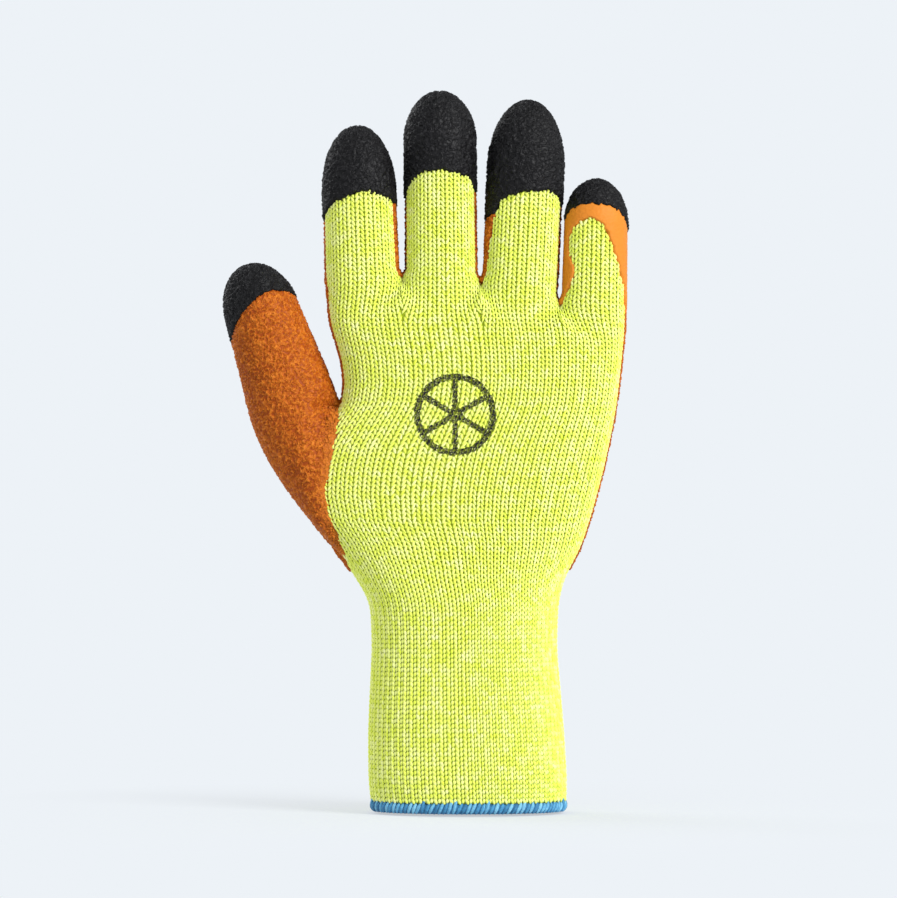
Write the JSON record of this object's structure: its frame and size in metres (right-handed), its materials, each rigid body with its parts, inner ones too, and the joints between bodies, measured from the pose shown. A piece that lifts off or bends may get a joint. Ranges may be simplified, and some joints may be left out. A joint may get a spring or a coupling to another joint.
{
  "type": "work glove",
  "caption": "Coated knit work glove for the right hand: seamless knit liner with a long cuff and overlocked hem, latex palm and thumb, dipped fingertips, jointed at its folds.",
  "frame": {"origin": "centre of the wrist opening, at the hem's lower edge", "axes": "+Z from the hem to the fingertips, +Y out of the palm, -Y out of the back of the hand, -X to the thumb"},
  "size_m": [0.1486, 0.0492, 0.2648],
  "materials": {
    "knit": "matte acrylic knit, seven-gauge",
    "orange_latex": "crinkled satin latex",
    "black_latex": "crinkled satin latex, second dip",
    "hem_thread": "matte overlock thread",
    "elastic": "matte covered elastic thread",
    "print_ink": "flat screen ink"
  },
  "bodies": {
    "cuff": {"cuff_knit": "knit", "hem_overlock": "hem_thread", "cuff_elastic": "elastic", "wrist_fold": "knit"},
    "hand": {"hand_knit": "knit", "palm_coat": "orange_latex", "back_print": "print_ink", "index_base_fold": "knit", "middle_base_fold": "knit", "ring_base_fold": "knit", "little_base_fold": "knit", "thumb_base_fold": "knit"},
    "index_proximal": {"index_proximal_knit": "knit", "index_proximal_coat": "orange_latex", "index_middle_fold": "knit"},
    "index_middle": {"index_middle_knit": "knit", "index_middle_dip": "black_latex", "index_end_fold": "knit"},
    "index_distal": {"index_distal_knit": "knit", "index_tip_dip": "black_latex"},
    "middle_proximal": {"middle_proximal_knit": "knit", "middle_proximal_coat": "orange_latex", "middle_middle_fold": "knit"},
    "middle_middle": {"middle_middle_knit": "knit", "middle_middle_dip": "black_latex", "middle_end_fold": "knit"},
    "middle_distal": {"middle_distal_knit": "knit", "middle_tip_dip": "black_latex"},
    "ring_proximal": {"ring_proximal_knit": "knit", "ring_proximal_coat": "orange_latex", "ring_middle_fold": "knit"},
    "ring_middle": {"ring_middle_knit": "knit", "ring_middle_dip": "black_latex", "ring_end_fold": "knit"},
    "ring_distal": {"ring_distal_knit": "knit", "ring_tip_dip": "black_latex"},
    "little_proximal": {"little_proximal_knit": "knit", "little_proximal_coat": "orange_latex", "little_middle_fold": "knit"},
    "little_middle": {"little_middle_knit": "knit", "little_middle_coat": "orange_latex", "little_end_fold": "knit"},
    "little_distal": {"little_distal_knit": "knit", "little_tip_dip": "black_latex"},
    "thumb_proximal": {"thumb_proximal_knit": "knit", "thumb_proximal_coat": "orange_latex", "thumb_end_fold": "knit"},
    "thumb_distal": {"thumb_distal_knit": "knit", "thumb_tip_dip": "black_latex"}
  },
  "joints": [
    {"name": "wrist_bend", "type": "hinge", "parent": "cuff", "child": "hand", "pos_m": [-0.0016, 0, 0.0775], "axis": [-1, 0, 0], "range_deg": [-45, 45], "stiffness_Nm_per_rad": 1.2, "deforming": ["wrist_fold"]},
    {"name": "index_base_bend", "type": "hinge", "parent": "hand", "child": "index_proximal", "pos_m": [-0.0392, 0.004, 0.199], "axis": [-0.9994, 0, -0.0349], "range_deg": [0, 68], "stiffness_Nm_per_rad": 0.09, "deforming": ["index_base_fold"]},
    {"name": "index_middle_bend", "type": "hinge", "parent": "index_proximal", "child": "index_middle", "pos_m": [-0.03984, 0.004, 0.21726], "axis": [-0.9994, 0, -0.0349], "range_deg": [0, 78], "stiffness_Nm_per_rad": 0.06, "deforming": ["index_middle_fold"]},
    {"name": "index_end_bend", "type": "hinge", "parent": "index_middle", "child": "index_distal", "pos_m": [-0.04042, 0.004, 0.23395], "axis": [-0.9994, 0, -0.0349], "range_deg": [0, 46], "stiffness_Nm_per_rad": 0.03, "deforming": ["index_end_fold"]},
    {"name": "middle_base_bend", "type": "hinge", "parent": "hand", "child": "middle_proximal", "pos_m": [-0.0101, 0.004, 0.1987], "axis": [-1, 0, -0.0087], "range_deg": [0, 68], "stiffness_Nm_per_rad": 0.09, "deforming": ["middle_base_fold"]},
    {"name": "middle_middle_bend", "type": "hinge", "parent": "middle_proximal", "child": "middle_middle", "pos_m": [-0.0103, 0.004, 0.22152], "axis": [-1, 0, -0.0087], "range_deg": [0, 78], "stiffness_Nm_per_rad": 0.06, "deforming": ["middle_middle_fold"]},
    {"name": "middle_end_bend", "type": "hinge", "parent": "middle_middle", "child": "middle_distal", "pos_m": [-0.01048, 0.004, 0.24238], "axis": [-1, 0, -0.0087], "range_deg": [0, 46], "stiffness_Nm_per_rad": 0.03, "deforming": ["middle_end_fold"]},
    {"name": "ring_base_bend", "type": "hinge", "parent": "hand", "child": "ring_proximal", "pos_m": [0.01915, 0.004, 0.197], "axis": [-0.999, 0, 0.0454], "range_deg": [0, 68], "stiffness_Nm_per_rad": 0.09, "deforming": ["ring_base_fold"]},
    {"name": "ring_middle_bend", "type": "hinge", "parent": "ring_proximal", "child": "ring_middle", "pos_m": [0.02016, 0.004, 0.21924], "axis": [-0.999, 0, 0.0454], "range_deg": [0, 78], "stiffness_Nm_per_rad": 0.06, "deforming": ["ring_middle_fold"]},
    {"name": "ring_end_bend", "type": "hinge", "parent": "ring_middle", "child": "ring_distal", "pos_m": [0.02108, 0.004, 0.23957], "axis": [-0.999, 0, 0.0454], "range_deg": [0, 46], "stiffness_Nm_per_rad": 0.03, "deforming": ["ring_end_fold"]},
    {"name": "little_base_bend", "type": "hinge", "parent": "hand", "child": "little_proximal", "pos_m": [0.04615, 0.004, 0.1895], "axis": [-0.9998, 0, 0.0209], "range_deg": [0, 68], "stiffness_Nm_per_rad": 0.09, "deforming": ["little_base_fold"]},
    {"name": "little_middle_bend", "type": "hinge", "parent": "little_proximal", "child": "little_middle", "pos_m": [0.04646, 0.004, 0.20427], "axis": [-0.9998, 0, 0.0209], "range_deg": [0, 78], "stiffness_Nm_per_rad": 0.06, "deforming": ["little_middle_fold"]},
    {"name": "little_end_bend", "type": "hinge", "parent": "little_middle", "child": "little_distal", "pos_m": [0.04674, 0.004, 0.21777], "axis": [-0.9998, 0, 0.0209], "range_deg": [0, 46], "stiffness_Nm_per_rad": 0.03, "deforming": ["little_end_fold"]},
    {"name": "thumb_base_bend", "type": "hinge", "parent": "hand", "child": "thumb_proximal", "pos_m": [-0.06608, 0.00688, 0.15731], "axis": [-0.9191, 0.2419, -0.3111], "range_deg": [0, 40], "stiffness_Nm_per_rad": 0.09, "deforming": ["thumb_base_fold"]},
    {"name": "thumb_end_bend", "type": "hinge", "parent": "thumb_proximal", "child": "thumb_distal", "pos_m": [-0.0742, 0.00688, 0.18129], "axis": [-0.9191, 0.2419, -0.3111], "range_deg": [0, 52], "stiffness_Nm_per_rad": 0.03, "deforming": ["thumb_end_fold"]}
  ],
  "couplings": [
    {"joint": "index_end_bend", "follows": "index_middle_bend", "ratio": 0.5897},
    {"joint": "middle_end_bend", "follows": "middle_middle_bend", "ratio": 0.5897},
    {"joint": "ring_end_bend", "follows": "ring_middle_bend", "ratio": 0.5897},
    {"joint": "little_end_bend", "follows": "little_middle_bend", "ratio": 0.5897}
  ]
}
